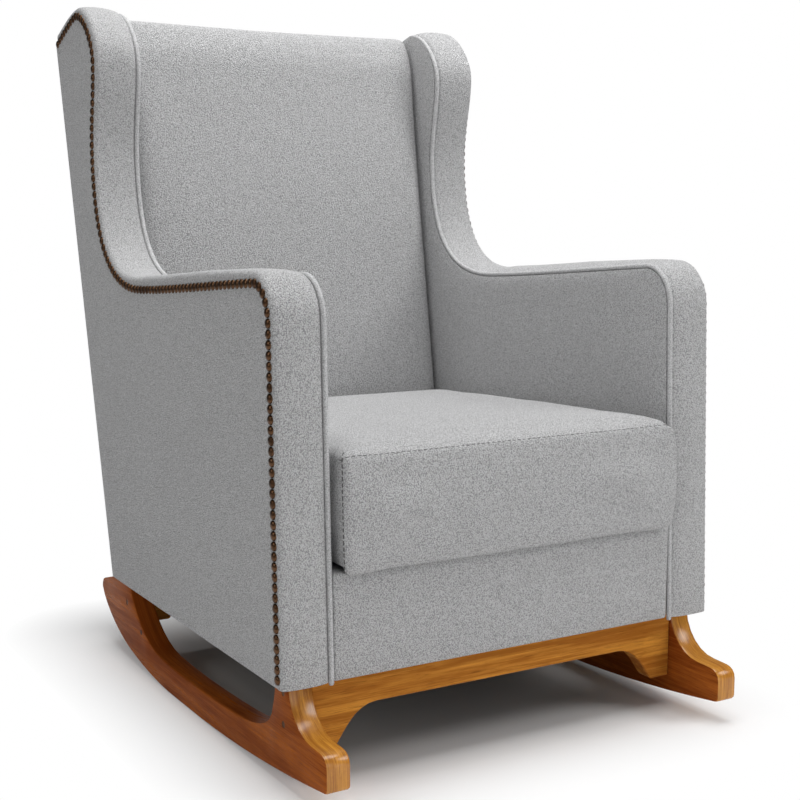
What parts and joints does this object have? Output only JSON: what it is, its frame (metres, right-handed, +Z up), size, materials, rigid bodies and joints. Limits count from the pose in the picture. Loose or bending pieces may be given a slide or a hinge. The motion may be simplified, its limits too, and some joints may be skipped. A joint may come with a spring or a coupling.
{
  "type": "nursing rocking chair",
  "caption": "Upholstered wing-back nursing armchair on two curved wooden rockers, with a loose seat cushion and nailhead-trimmed arms.",
  "frame": {"origin": "on the floor at the centre of the chair's bounding box, with the chair standing level on its rockers", "axes": "+Z up, +Y towards the back, so that the sitter faces -Y; +X to the right as seen from the front"},
  "size_m": [0.686, 0.9134, 1.0272],
  "materials": {
    "grey_wool": "nubby boucle-like wool upholstery, light grey, matt",
    "welt_wool": "same wool cut on the bias round a cord, matt",
    "honey_wood": "honey-brown solid wood, satin lacquer, lengthwise grain",
    "dowel_wood": "darker end-grain dowel, sanded flush",
    "frame_timber": "sawn softwood and plywood, unfinished",
    "bronze": "domed upholstery nails, antique bronze, slightly worn",
    "steel": "zinc-plated steel",
    "spring_steel": "dark drawn spring wire",
    "dust_cloth": "black non-woven dust cloth",
    "webbing": "woven jute and elastic webbing",
    "felt": "grey needled felt"
  },
  "bodies": {
    "chair": {"apron_cover": "grey_wool", "back_lower_rail": "frame_timber", "back_middle_rail": "frame_timber", "back_top_cover": "grey_wool", "back_top_rail": "frame_timber", "back_webbing": "webbing", "dust_cover": "dust_cloth", "front_cross_rail": "honey_wood", "front_seat_rail": "frame_timber", "front_spring_clip": "steel", "inner_back_pad": "grey_wool", "left_arm_post": "frame_timber", "left_arm_rail": "frame_timber", "left_back_post": "frame_timber", "left_facing_band": "grey_wool", "left_front_corner_block": "frame_timber", "left_front_hanger_bolt": "steel", "left_front_lower_screw": "steel", "left_front_upper_screw": "steel", "left_heel_dowel": "dowel_wood", "left_inner_piping": "welt_wool", "left_inner_side_pad": "grey_wool", "left_nail_trim": "bronze", "left_outer_side_panel": "grey_wool", "left_rear_corner_block": "frame_timber", "left_rear_hanger_bolt": "steel", "left_rear_screw": "steel", "left_rocker": "honey_wood", "left_seat_rail": "frame_timber", "left_wing_board": "frame_timber", "outer_back_panel": "grey_wool", "rear_cross_rail": "honey_wood", "rear_seat_rail": "frame_timber", "rear_spring_clip": "steel", "right_arm_post": "frame_timber", "right_arm_rail": "frame_timber", "right_back_post": "frame_timber", "right_facing_band": "grey_wool", "right_front_corner_block": "frame_timber", "right_front_hanger_bolt": "steel", "right_front_lower_screw": "steel", "right_front_upper_screw": "steel", "right_heel_dowel": "dowel_wood", "right_inner_piping": "welt_wool", "right_inner_side_pad": "grey_wool", "right_nail_trim": "bronze", "right_outer_side_panel": "grey_wool", "right_rear_corner_block": "frame_timber", "right_rear_hanger_bolt": "steel", "right_rear_screw": "steel", "right_rocker": "honey_wood", "right_seat_rail": "frame_timber", "right_wing_board": "frame_timber", "seat_deck": "felt", "seat_spring_1": "spring_steel", "seat_spring_2": "spring_steel", "seat_spring_3": "spring_steel", "seat_spring_4": "spring_steel"},
    "cushion": {"seat_cushion": "grey_wool"}
  },
  "joints": [
    {"name": "cushion_lift", "type": "slide", "parent": "chair", "child": "cushion", "axis": [0, 0, 1], "range_m": [0, 0.4]}
  ]
}
